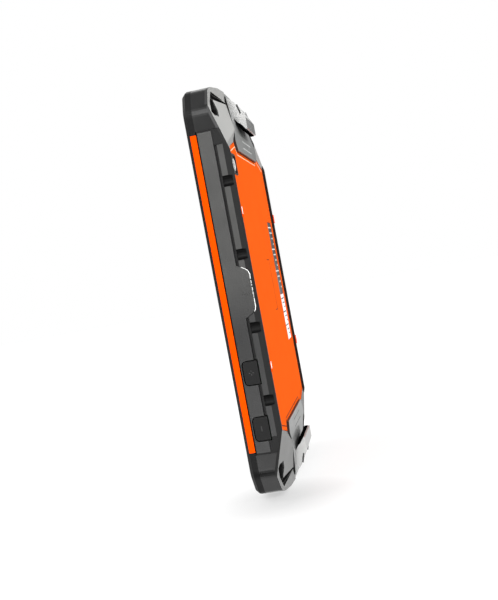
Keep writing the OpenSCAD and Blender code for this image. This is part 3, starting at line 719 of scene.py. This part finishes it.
def key_details():
    """Plain outline marks on the three front keys."""
    for node, strokes in KEY_MARKS.items():
        low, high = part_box(node)
        middle = (low + high) / 2
        bm = bmesh.new()
        for stroke in strokes:
            line = [Vector((middle.x + x * MM, low.y, middle.z + z * MM)) for x, z in stroke]
            bead(bm, line, FORWARD, 0.35, 0.03)
        piece(f"{node}_mark", bm, PALE_INK_AND_HIGHLIGHT, node)


RIDGE_FIRST, RIDGE_PITCH = 3, 1.3


def door_details():
    """Finger ridges on the port doors, coloured dark as painted shade."""
    for node in ("usb_door", "power_door"):
        low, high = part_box(node)
        bm = bmesh.new()
        for i in range(4):
            z = high.z - (RIDGE_FIRST + i * RIDGE_PITCH) * MM
            line = [Vector((low.x + 0.02 * MM, y, z))
                    for y in (low.y + 1.2 * MM, high.y - 2.4 * MM)]
            bead(bm, line, (-1, 0, 0), 0.6, 0.02)
        piece(f"{node}_ridges", bm, GROOVE_SHADE, node)


CLIP_HEIGHTS = (43.4, -43.4)
CLIP_INNER, CLIP_OUTER = HALF_WIDTH - 2.15, HALF_WIDTH - 1.6
# Painted highlight along the edge of a clip: across, height above the clip's middle
CLIP_GLINT_EDGE = ((CLIP_INNER, 2.7), (CLIP_OUTER, 2.7), (CLIP_OUTER, -1.2))


def clip_glints():
    """Bright beads on the edges of the four clips that hold the cover under the rims.

    They are painted highlights.
    """
    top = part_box("cover_clips")[1].y / MM + HALF_DEPTH
    bm = bmesh.new()
    for side, _ in SIDES:
        for middle in CLIP_HEIGHTS:
            line = [at(side * x, top - 0.05, middle + z) for x, z in CLIP_GLINT_EDGE]
            bead(bm, line, BACKWARD, 0.3, 0.2)
    piece("clip_edge_glints", bm, SILVER_AND_HIGHLIGHT, "device")


# ---------------------------------------------------------------- light and floor

# Brightness of the studio by the sine of the height: towards the buttons, and the far side
SKY_NEAR = (
    (-1.0, 2.6), (-0.88, 2.2), (-0.76, 0.3), (-0.44, 0.3), (-0.36, 5.0), (-0.21, 5.0),
    (-0.14, 0.12), (-0.01, 0.12), (0.02, 1.5), (0.32, 0.7), (0.4, 7.5), (0.6, 7.5),
    (0.7, 0.5), (1.0, 0.8),
)
SKY_FAR = (
    (-1.0, 0.9), (-0.03, 1.1), (0.01, 0.2), (0.2, 0.2), (0.27, 1.2), (1.0, 0.9),
)
SKY_MAX = 8.0
SKY_SEAM = 0.3      # half width of the change from near to far


def sky_ramp(tree, height, levels):
    """Brightness at a height from 0 to 1, as a share of SKY_MAX."""
    ramp = tree.nodes.new("ShaderNodeValToRGB")
    stops = ramp.color_ramp.elements
    while len(stops) < len(levels):
        stops.new(0.5)
    for stop, (z, level) in zip(stops, levels):
        stop.position = (z + 1) / 2
        v = level / SKY_MAX
        stop.color = (v, v, v, 1)
    tree.links.new(height, ramp.inputs["Fac"])
    return ramp.outputs["Color"]


def make_sky():
    """White studio behind the object; for its light, brightness changes with height."""
    world = bpy.data.worlds.new("studio")
    world.use_nodes = True
    tree = world.node_tree
    lit = tree.nodes["Background"]
    plain = tree.nodes.new("ShaderNodeBackground")
    plain.inputs["Color"].default_value = (1, 1, 1, 1)
    way = tree.nodes.new("ShaderNodeTexCoord").outputs["Generated"]
    height = remap(tree, along(tree, way, "Z"), -1, 1)
    far = remap(tree, along(tree, way, "X"), SKY_SEAM, -SKY_SEAM)
    skies = [sky_ramp(tree, height, levels) for levels in (SKY_NEAR, SKY_FAR)]
    tree.links.new(blend(tree, far, *skies), lit.inputs["Color"])
    lit.inputs["Strength"].default_value = SKY_MAX
    path = tree.nodes.new("ShaderNodeLightPath")
    mix = tree.nodes.new("ShaderNodeMixShader")
    tree.links.new(path.outputs["Is Camera Ray"], mix.inputs["Fac"])
    tree.links.new(lit.outputs["Background"], mix.inputs[1])
    tree.links.new(plain.outputs["Background"], mix.inputs[2])
    tree.links.new(mix.outputs["Shader"], tree.nodes["World Output"].inputs["Surface"])
    scene.world = world
    scene.view_settings.view_transform = "Standard"


KEY_AT, KEY_AIM = Vector((0.2, -0.9, 1.3)), Vector((0, 0, 0.12))
KEY_SIZE, KEY_WATTS = 0.9, 10


def make_key_light():
    """Soft round light in front of and above the object."""
    data = bpy.data.lights.new("key", "AREA")
    data.shape = "DISK"
    data.size = KEY_SIZE
    data.energy = KEY_WATTS
    light = bpy.data.objects.new("key", data)
    light.location = KEY_AT
    light.rotation_mode = "QUATERNION"
    light.rotation_quaternion = (KEY_AIM - KEY_AT).to_track_quat("-Z", "Y")
    scene.collection.objects.link(light)


FLOOR_HALF, FLOOR_DROP = 3, 0.5 * MM
SHADE_AT = Vector((73, 2, 0)) * MM      # middle of the soft shade under the near lower corner
SHADE_RANGE = (6 * MM, 50 * MM)
GLOW_RANGE = (0.45, 0.75)               # the floor's own light, from there outwards


def make_floor():
    """Pale glowing floor, its glow weaker round the near lower corner as a painted shadow."""
    bm = bmesh.new()
    bmesh.ops.create_grid(bm, x_segments=12, y_segments=12, size=FLOOR_HALF)
    mesh = bpy.data.meshes.new("floor")
    bm.to_mesh(mesh)
    bm.free()
    floor = bpy.data.objects.new("floor", mesh)
    floor.location.z = -FLOOR_DROP
    scene.collection.objects.link(floor)
    mat = material("floor", (120, 120, 120), 0.9, grain=40, bump=0.01, mottle=0.01,
                   Specular_IOR_Level=0.0)
    tree = mat.node_tree
    bsdf = tree.nodes["Principled BSDF"]
    bsdf.inputs["Emission Color"].default_value = (1, 1, 1, 1)
    coord = tree.nodes.new("ShaderNodeTexCoord")
    shift = tree.nodes.new("ShaderNodeVectorMath")
    shift.inputs[1].default_value = -SHADE_AT
    reach = tree.nodes.new("ShaderNodeVectorMath")
    reach.operation = "LENGTH"
    tree.links.new(coord.outputs["Object"], shift.inputs[0])
    tree.links.new(shift.outputs["Vector"], reach.inputs[0])
    # The floor's own light, weaker round SHADE_AT: a painted contact shadow
    glow = remap(tree, reach.outputs["Value"], *SHADE_RANGE, *GLOW_RANGE)
    tree.links.new(glow, bsdf.inputs["Emission Strength"])
    floor.data.materials.append(mat)
    floor.visible_glossy = False
    floor.visible_diffuse = False


make_camera()
paint_nodes()
round_edges()
cover_details()
plate_details()
plate_gap_shades()
hook_mouth_shade_blocks()
hook_slit_shades()
bulge_edge_glints()
pocket_shade_liners()
button_details()
label_details()
camera_details()
key_details()
door_details()
clip_glints()
make_sky()
make_floor()
make_key_light()
